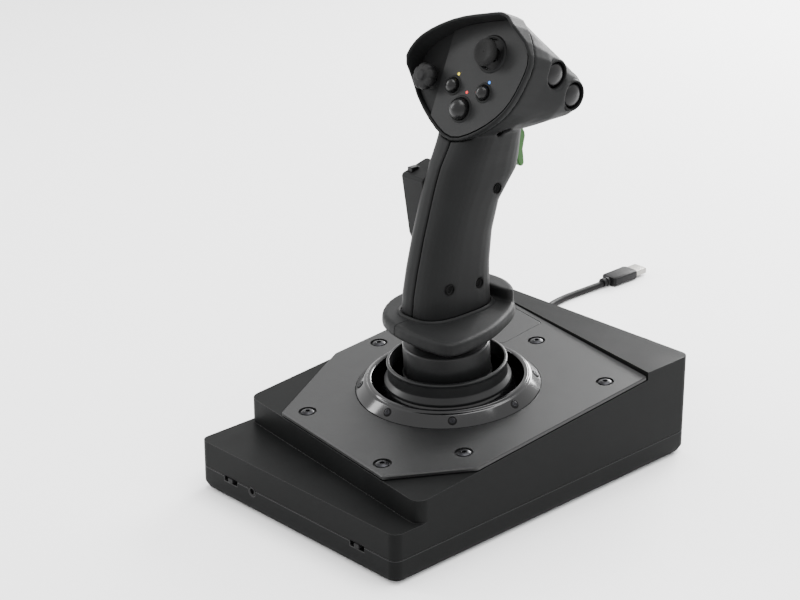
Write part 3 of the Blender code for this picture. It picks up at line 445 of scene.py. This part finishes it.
def soft_edges(thing, width, segments=3, angle=38, wear_and_highlight=None):
    """Rounds a node's hard edges, and gives the bevels a lighter finish, a painted highlight, when it is given
    one.
    """
    merge = thing.modifiers.new("merge", "WELD")
    merge.merge_threshold = 0.00001
    flat = thing.modifiers.new("flat", "DECIMATE")
    flat.decimate_type = "DISSOLVE"
    flat.angle_limit = math.radians(1.0)
    bevel = thing.modifiers.new("edges", "BEVEL")
    bevel.width = width * MM
    bevel.segments = segments
    bevel.limit_method = "ANGLE"
    bevel.angle_limit = math.radians(angle)
    # The bevel faces take the lighter finish: a painted highlight along the edges.
    if wear_and_highlight:
        thing.data.materials.append(wear_and_highlight)
        bevel.material = len(thing.data.materials) - 1
    even = thing.modifiers.new("even", "WEIGHTED_NORMAL")
    even.mode = "FACE_AREA"
    even.weight = 100


# ---- cord ----------------------------------------------------------------------------------------------

CORD_RADIUS = 2.5
COIL_AT = (-25.0, 175.0)
LEAD_ROUTE = [
    (-74, 118, 41),
    (-74, 135, 41),
    (-74, 150, 41),
    (-74.5, 163, 38.5),
    (-76, 174, 31),
    (-78, 183, 20),
    (-78.5, 191, 10),
    (-75.5, 198.5, 4),
    (-69, 204, 2.6),
    (-60, 207.3, 2.6),
    (-50, 210.2, 2.6),
]
TAIL_ROUTE = [
    (-64, 156, 2.6),
    (-78, 170, 2.6),
    (-92, 184, 2.6),
    (-106, 198, 2.6),
    (-120, 213, 2.6),
    (-131, 229, 2.6),
    (-137.5, 246, 2.6),
    (-140, 264, 2.6),
    (-140, 282, 2.6),
    (-139, 305, 2.9),
]
# The coil's wraps, layer by layer: degrees turned so far, radius and height.
COIL_START = 110.7
COIL_WRAPS = [
    (0, 41.3, 2.6),
    (1420, 21.0, 2.6),
    (1460, 21.0, 7.7),
    (2680, 38.6, 7.7),
    (2720, 38.6, 12.8),
    (3760, 23.6, 12.8),
    (3800, 23.6, 17.9),
    (4640, 35.6, 17.9),
    (4730, 43.8, 17.2),
    (4800, 45.0, 12.0),
    (4870, 43.6, 5.0),
    (4925.7, 41.6, 2.6),
]
WRAP_STEP = 20.0


def coil_points():
    """The wound length as points, each wrap beside or on the one before it."""
    points = []
    last = COIL_WRAPS[-1][0]
    count = int(last / WRAP_STEP)
    for i in range(count + 1):
        turned_by = last * i / count
        for near, far in zip(COIL_WRAPS, COIL_WRAPS[1:]):
            if turned_by <= far[0]:
                break
        t = (turned_by - near[0]) / (far[0] - near[0])
        radius, height = (near[k] * (1 - t) + far[k] * t for k in (1, 2))
        angle = math.radians(COIL_START - turned_by)
        x, y = COIL_AT[0] + radius * math.cos(angle), COIL_AT[1] + radius * math.sin(angle)
        points.append((x, y, height))
    return points


def make_cord():
    """The whole cord as one tube: out of the rear wall, down to the table, wound, and on to its plug."""
    route = smooth_path(LEAD_ROUTE + coil_points() + TAIL_ROUTE, 4)
    curve = bpy.data.curves.new("cord", "CURVE")
    curve.dimensions = "3D"
    curve.bevel_depth = CORD_RADIUS * MM
    curve.bevel_resolution = 3
    curve.use_fill_caps = True
    spline = curve.splines.new("POLY")
    spline.points.add(len(route) - 1)
    for slot, point in zip(spline.points, route):
        slot.co = (*(point * MM), 1.0)
    spline.use_smooth = True
    curve.materials.append(JACKET)
    cord = bpy.data.objects.new("cord", curve)
    bpy.context.scene.collection.objects.link(cord)
    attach(cord, "base")
    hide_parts("cord_lead", "cord_coil", "cord_tail")
    length = sum((b - a).length for a, b in zip(route, route[1:])) * MM
    return cord, round(length, 2)


def make_tie():
    """A strap of hook-and-loop tape round the coil's bundle."""
    section = fillet([(16.5, 0.3), (47.6, 0.3), (47.2, 9), (41.5, 21.6), (27, 22.2), (17.2, 16)], 4, 6)
    rings = []
    for across, grow in ((-5.0, -0.5), (-5.2, 0.0), (5.2, 0.0), (5.0, -0.5)):
        rings.append([(p.x, across, p.y + grow * (0.3 if p.y < 5 else 1)) for p in section])
    inner = [[(p.x * 0.96 + 1.3, across, p.y * 0.93 + 0.7) for p in section] for across in (5.0, -5.0)]
    mesh = skin("coil_tie", rings + inner, looped=True)
    turn = Matrix.Rotation(math.radians(-25), 3, "Z")
    return piece("coil_tie", mesh, SOFT, "base", at=(*COIL_AT, 0), turn=turn)


PLUG_X = -139.0
PLUG_Y = 305.3
PLUG_Z = 3.9


def make_plug():
    """The USB plug: a ribbed overmould with a boot, a steel shell and its white tongue."""
    boot = [(0.0, 3.4, 3.4), (2.0, 3.5, 3.5), (2.3, 2.9, 2.9), (3.6, 2.9, 2.9)]
    boot += [(3.9, 3.6, 3.5), (5.4, 3.7, 3.5), (5.7, 3.0, 3.0), (6.9, 3.1, 3.0)]
    grip = [(7.2, 5.6, 3.4), (8.6, 7.1, 3.75), (31.6, 7.5, 3.8), (33.0, 6.9, 3.5)]
    rings = [[(x, along, z) for x, z in squared_ring(wide, high, 1.0, 40)] for along, wide, high in boot]
    rings += [[(x, along, z) for x, z in squared_ring(wide, high, 0.42, 40)] for along, wide, high in grip]
    place = (PLUG_X, PLUG_Y, PLUG_Z)
    body = piece("plug_body", skin("plug_body", rings), JACKET, "base", ("usb_plug",), at=place)
    outer = fillet([(-6, -2.2), (6, -2.2), (6, 2.2), (-6, 2.2)], 0.7)
    inner = fillet([(-5.6, -1.8), (5.6, -1.8), (5.6, 1.8), (-5.6, 1.8)], 0.4)
    far, near = 45.0, 33.0
    ends = ((outer, near), (outer, far), (inner, far), (inner, near))
    shell_rings = [[(x, y, z) for x, z in loop] for loop, y in ends]
    shell = piece("plug_shell", skin("plug_shell", shell_rings, looped=True), NICKEL, "base", at=place)
    tongue_rings = []
    for y, grow in ((33.0, 0.0), (43.6, 0.0), (44.2, -0.3)):
        loop = fillet([(-5.3, -1.5), (5.3, -1.5), (5.3, 0.3 + grow), (-5.3, 0.3 + grow)], 0.3)
        tongue_rings.append([(x, y, z) for x, z in loop])
    tongue = piece("plug_tongue", skin("plug_tongue", tongue_rings), WHITE, "base", at=place)
    return [body, shell, tongue]


GLAND_AT = (-74.0, 129.0, 41.0)


def make_strain_relief():
    """A tapered boot with relief grooves, held in the rear wall."""
    profile = [(2.7, -4.9), (6.4, -4.9), (6.4, -2.9), (4.6, -2.9), (4.6, 0.3), (6.4, 0.3), (6.4, 3.0)]
    for i in range(6):
        low = 3.6 + 3.1 * i
        taper = 4.9 - 0.22 * i
        profile += [(taper, low), (taper, low + 1.9), (taper - 0.8, low + 2.1), (taper - 0.85, low + 2.9)]
    profile += [(3.6, 22.4), (3.4, 23.0), (2.7, 23.0)]
    rearward = Matrix.Rotation(math.radians(-90), 3, "X")
    turned("strain_relief", profile, JACKET, "base", ("cable_gland",), GLAND_AT, rearward, 64, 0.3)


def declare_cord():
    cord, length = make_cord()
    pieces = [make_tie(), *make_plug()]


# ---- fine pieces over the frame ------------------------------------------------------------------------

DECK_SLOPE = math.radians(4.41)
DECK_TILT = Matrix.Rotation(DECK_SLOPE, 3, "X")
DECK_MIDDLE = 58.5
PIVOT = (0.0, 1.735, 36.0)
LEANING = Vector(PIVOT) + DECK_TILT @ Vector((0, 0, -PIVOT[2]))
SIDEWAYS = Matrix.Rotation(math.radians(90), 3, "Y")
HEAD_ORIGIN = Vector((0.0, 1.5, 222.9))
HEAD_TILT = math.radians(22.3)
HEAD_UP = Vector((0, math.sin(HEAD_TILT), math.cos(HEAD_TILT)))
HEAD_TURN = Matrix((Vector((1, 0, 0)), HEAD_UP, Vector((1, 0, 0)).cross(HEAD_UP))).transposed()
SHAFT_HOLE = 7.3


def at_head(x, up, depth):
    """A point in the face's own right, up and depth behind it."""
    return HEAD_ORIGIN + HEAD_TURN @ Vector((x, up, -depth))


BEZEL_SCREWS = 8
BEZEL_SCREW_FIRST = 3
BEZEL_SCREW_RING = 54.9
BEZEL_SCREW_RISE = 3.55
BEZEL_SLOPE = math.atan2(5.9, 5.7)


def make_bezel():
    """The glossy ring: a shallow cone with a raised inner lip, and eight small screws let into it, each ringed
    by painted shade.
    """
    on_deck = (0, 0, DECK_MIDDLE)
    cone = [(58.0, 0.3), (58.0, -2.2), (47.6, -2.2), (47.6, 7.3)]
    lip = [(48.3, 8.0), (50.2, 7.9), (50.9, 6.7), (52.3, 6.2)]
    turned("bezel", cone + lip, GLOSS, "base", ("bezel_ring",), on_deck, DECK_TILT, 160, 0.5)
    cross = [(0, 0.42), (0.5, 0.42), (0.75, 0.05), (0.95, 0.05), (1.15, 0.45)]
    head = cross + [(1.75, 0.35), (2.0, -0.1), (2.0, -1.0), (0, -1.0)]
    # A near-black ring round each screw head: painted shade in the gap round the screw.
    well = [(1.95, 0.16), (2.7, 0.16), (2.8, 0.0), (2.8, -0.8), (1.95, -0.8)]
    for i in range(BEZEL_SCREWS):
        degrees = BEZEL_SCREW_FIRST + 360 // BEZEL_SCREWS * i
        around = Matrix.Rotation(math.radians(degrees), 3, "Z")
        spot = Vector(on_deck) + DECK_TILT @ around @ Vector((BEZEL_SCREW_RING, 0, BEZEL_SCREW_RISE))
        turn = DECK_TILT @ around @ Matrix.Rotation(BEZEL_SLOPE, 3, "Y")
        place = {"at": spot, "turn": turn, "steps": 32}
        turned(f"bezel_screw_{degrees}", head, OXIDE, "base", radius=0.15, **place)
        turned(f"bezel_screw_shade_{degrees}", well, PAINTED_SHADE, "base", radius=0.05, **place)


def make_cover():
    """The telescoping cover over the carried-over washer: cup, collar and the soft hub under the rest."""
    wall = [(35.9, 77.6), (37.6, 77.4), (38.0, 76.2), (37.4, 75.0), (37.4, 67.9)]
    flange = [(40.0, 64.9), (40.0, 63.0), (37.7, 66.0), (35.4, 68.4)]
    turned("cup", wall + flange, SLEEVE, "cup", ("dust_cup",), LEANING, DECK_TILT, 128, 0.6)
    outside = [(26.4, 89.6), (27.2, 88.8), (27.2, 70.0), (28.2, 69.5), (28.2, 68.0)]
    inside = [(25.0, 68.0), (25.0, 87.1), (SHAFT_HOLE, 87.1), (SHAFT_HOLE, 89.6)]
    turned("collar", outside + inside, SLEEVE, "stick", ("neck_collar",), LEANING, DECK_TILT, 128, 0.7)
    hub = [(22.5, 101.4), (22.5, 99.6), (20.6, 97.4), (20.4, 89.9), (SHAFT_HOLE, 89.9), (SHAFT_HOLE, 101.4)]
    turned("hub", hub, SOFT, "stick", ("neck_hub",), LEANING, DECK_TILT, 96, 0.6)


FACE_BUTTONS = [
    ("ball_button_left", "left_ball", -9.8, 27.2, 4.4),
    ("ball_button_right", "right_ball", 15.3, 27.8, 4.4),
    ("dome_button", "dome", 1.1, 14.8, 6.6),
]
THUMB_AT = (13.0, 51.0)
HAT_AT = (-30.0, 27.6)
POD_X = 43.0
POD_BUTTONS = [("pod_button_1", "pod_front", 27.3, 49.6), ("pod_button_2", "pod_rear", 48.0, 41.0)]
POD_CAP = 7.4


def make_face_buttons():
    """Three round-topped buttons, each in a low rim."""
    for name, body, x, up, radius in FACE_BUTTONS:
        arc = [math.radians(degrees) for degrees in range(0, 91, 10)]
        cap = [(radius * math.sin(a), 1.2 + radius * 0.85 * math.cos(a)) for a in arc]
        cap += [(radius, -4.0), (0, -4.0)]
        turned(f"{name}_cap", cap, CAP, body, (name,), at_head(x, up, 0), HEAD_TURN, 64, 0.4)
        steps = [(0.3, 0.05), (0.5, 0.5), (1.5, 0.5), (1.9, 0.02), (1.9, -0.6), (0.3, -0.6)]
        rim = [(radius + out, height) for out, height in steps]
        turned(f"{name}_rim", rim, GRIP, "stick", at=at_head(x, up, 0), turn=HEAD_TURN, steps=64, radius=0.3)


def make_thumbstick():
    """A dished rubber cap on its stem, in a rimmed well."""
    top = [(0, 7.5), (2.6, 7.6), (4.9, 8.2), (6.2, 8.5), (7.6, 7.9), (8.4, 6.4), (8.2, 4.6)]
    stem = [(6.4, 3.5), (3.4, 3.0), (2.8, -6.0), (0, -6.0)]
    spot = at_head(*THUMB_AT, 0)
    turned("thumbstick", top + stem, RUBBER, "thumbstick", ("thumbstick_cap",), spot, HEAD_TURN, 96, 0.9)
    well = [(9.45, 0.02), (9.7, 0.9), (10.9, 0.9), (11.6, 0.02), (11.6, -0.7), (9.45, -0.7)]
    turned("thumbstick_rim", well, GRIP, "stick", at=spot, turn=HEAD_TURN, steps=96, radius=0.4)


def make_hat():
    """An eight-way hat: a fluted skirt under a small raised crown."""
    skirt = [(2.9, -6.0), (2.9, 0.9), (6.0, 1.1), (7.6, 2.4), (8.2, 4.4), (8.1, 6.4), (6.9, 7.9), (4.4, 8.3)]
    crown = [(3.4, 8.6), (3.1, 9.4), (2.3, 9.75), (0.05, 9.75)]
    fluted_from, flutes, flute_depth, steps = 5.0, 8, 0.09, 128
    rings = []
    for point in smooth_path([(r, z, 0) for r, z in skirt + crown], 3):
        ring = []
        for k in range(steps):
            angle = 2 * math.pi * k / steps
            dip = flute_depth * max(0.0, math.cos(flutes * angle)) ** 2 if point.x > fluted_from else 0.0
            radius = max(point.x, 0.04) * (1 - dip)
            ring.append((radius * math.cos(angle), radius * math.sin(angle), point.y))
        rings.append(ring)
    piece("hat", skin("hat", rings), SOFT, "hat", ("hat_cap",), at_head(*HAT_AT, 0), HEAD_TURN)


def make_side_buttons():
    """Two domed buttons on the head's right side, each in a raised collar."""
    for name, body, deep, up in POD_BUTTONS:
        arc = [math.radians(degrees) for degrees in range(0, 81, 8)]
        dome = [(POD_CAP * math.sin(a), 3.4 * math.cos(a) - 3.0) for a in arc]
        barrel = [(POD_CAP, -3.2), (POD_CAP, -9.0), (0, -9.0)]
        spot = at_head(POD_X, up, deep)
        turned(f"{name}_cap", dome + barrel, CAP, body, (name,), spot, SIDEWAYS, 80, 0.6)
        collar = [(8.05, -1.2), (8.4, -0.3), (9.1, -0.3), (10.0, -1.6), (10.2, -6.5), (8.5, -6.5), (8.45, -2.6)]
        turned(f"{name}_surround", collar, GRIP, "stick", at=spot, turn=SIDEWAYS, steps=80, radius=0.4)


def make_marks():
    """Three small coloured dots beside the buttons, generic marks without letters."""
    for name, x, up, colour in (
        ("yellow", -8.0, 34.6, (0.75, 0.6, 0.03)),
        ("blue", 17.4, 34.6, (0.03, 0.22, 0.75)),
        ("red", 2.3, 25.4, (0.7, 0.03, 0.03)),
    ):
        look = soft_black(f"{name}_paint", colour, 0.4)
        dot = [(0, 0.12), (0.85, 0.12), (0.95, 0.02), (0.95, -0.4), (0, -0.4)]
        spot = at_head(x, up, 0)
        turned(f"{name}_dot", dot, look, "stick", at=spot, turn=HEAD_TURN, steps=32, radius=0.05)


RECESS_FLOOR = 16.0
GRIP_SCREWS = [(-16.5, 131.5), (8.5, 129.5), (23.0, 187.0), (22.0, 224.0)]


def make_grip_recesses():
    """Near-black cups lining the grip's screw recesses: painted shade in their depths."""
    recess_shade = [(3.15, 2.2), (3.15, 0.05), (0, 0.05), (0, 0.35), (2.9, 0.35), (2.9, 2.2)]
    for i, (y, z) in enumerate(GRIP_SCREWS):
        place = {"at": (RECESS_FLOOR, y, z), "turn": SIDEWAYS, "steps": 48}
        turned(f"grip_well_{i + 1}", recess_shade, PAINTED_SHADE, "stick", radius=0.1, **place)


SEAM_HALF = 0.16
FOOT_NEAR = -32.4
FOOT_FAR = 27.4
FOOT_HALF_WIDE = 19.0
FOOT_POWER = 2 / 3.0


def make_rest_seam():
    """The parting line of the hand rest, in line with the grip's own, drawn as a thin near-black strip of
    painted shade, and the low lip round the grip's foot.
    """
    lower = [(-30.0, 104.2), (-45.6, 104.2), (-46.62, 105.6), (-46.62, 109.6)]
    upper = [(-45.9, 111.3), (-44.0, 112.1), (-30.0, 112.1)]
    rings = [[(x, y, z) for y, z in lower + upper] for x in (-SEAM_HALF, SEAM_HALF)]
    # A thin near-black strip: painted shade in the seam.
    piece("rest_seam", skin("rest_seam", rings), PAINTED_SHADE, "stick")
    middle, deep = (FOOT_NEAR + FOOT_FAR) / 2, (FOOT_FAR - FOOT_NEAR) / 2
    section = [(0.2, 111.6), (0.2, 113.3), (0.9, 113.5), (1.7, 112.9), (2.1, 111.9), (2.1, 111.6)]
    rings = []
    for grow, height in section:
        loop = squared_ring(FOOT_HALF_WIDE + grow, deep + grow, FOOT_POWER, 96)
        rings.append([(x, middle + y, height) for x, y in loop])
    piece("grip_foot_lip", skin("grip_foot_lip", rings, looped=True), GRIP, "stick")


def make_spring():
    """The centring spring: a wire coil from its foot on the gimbal upwards, tilted with the deck and tied to no
    body.
    """
    turns, per_turn, coil, wire = 3.5, 28, 14.0, 0.9
    low, high = 45.6, 58.5
    count = int(turns * per_turn)
    rings = []
    for i in range(count + 1):
        angle = 2 * math.pi * i / per_turn
        outward = Vector((math.cos(angle), math.sin(angle), 0))
        centre = outward * coil + Vector((0, 0, low + (high - low) * i / count))
        section = [centre + outward * out + Vector((0, 0, up)) for out, up in squared_ring(wire, wire, 1, 12)]
        rings.append([LEANING + DECK_TILT @ point for point in section])
    spring = piece("spring", skin("spring", rings), STEEL, None, ("centring_spring",))
    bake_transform(spring)


def organic(name, pitch, passes):
    """A moulded shell: its skin is remeshed finely and relaxed, which rounds every edge a little."""
    node = NODES[name]
    remesh = node.modifiers.new("skin", "REMESH")
    remesh.mode = "VOXEL"
    remesh.voxel_size = pitch * MM
    remesh.use_smooth_shade = True
    relax = node.modifiers.new("relax", "SMOOTH")
    relax.factor = 0.5
    relax.iterations = passes


# ---- the whole model -----------------------------------------------------------------------------------

# Bevel widths of the base's parts, whose rounded edges carry a painted highlight.
PAINTED_EDGE_WIDTHS = {"bottom_tray": 0.7, "top_shell": 0.9, "top_plate": 0.45, "service_cover": 0.35}
MOULDED_SKINS = {
    "grip_left": (0.7, 12),
    "grip_right": (0.7, 12),
    "face_frame": (0.6, 6),
    "hand_rest": (0.8, 7),
}

for node in NODES.values():
    node.data.shade_smooth()
    node.data.set_sharp_from_angle(angle=math.radians(28))

make_camera()
declare_cord()
make_strain_relief()
for name, width in PAINTED_EDGE_WIDTHS.items():
    soft_edges(NODES[name], width, wear_and_highlight=HIGHLIGHT_PAINT)
make_bezel()
make_cover()
for i in range(6):
    soft_edges(NODES[f"plate_screw_{i + 1}"], 0.25, 2)
make_face_buttons()
make_thumbstick()
make_hat()
make_side_buttons()
make_marks()
make_grip_recesses()
make_rest_seam()
make_spring()
for name, (pitch, passes) in MOULDED_SKINS.items():
    organic(name, pitch, passes)
soft_edges(NODES["side_fin"], 1.0)
soft_edges(NODES["trigger"], 0.6)
make_studio()
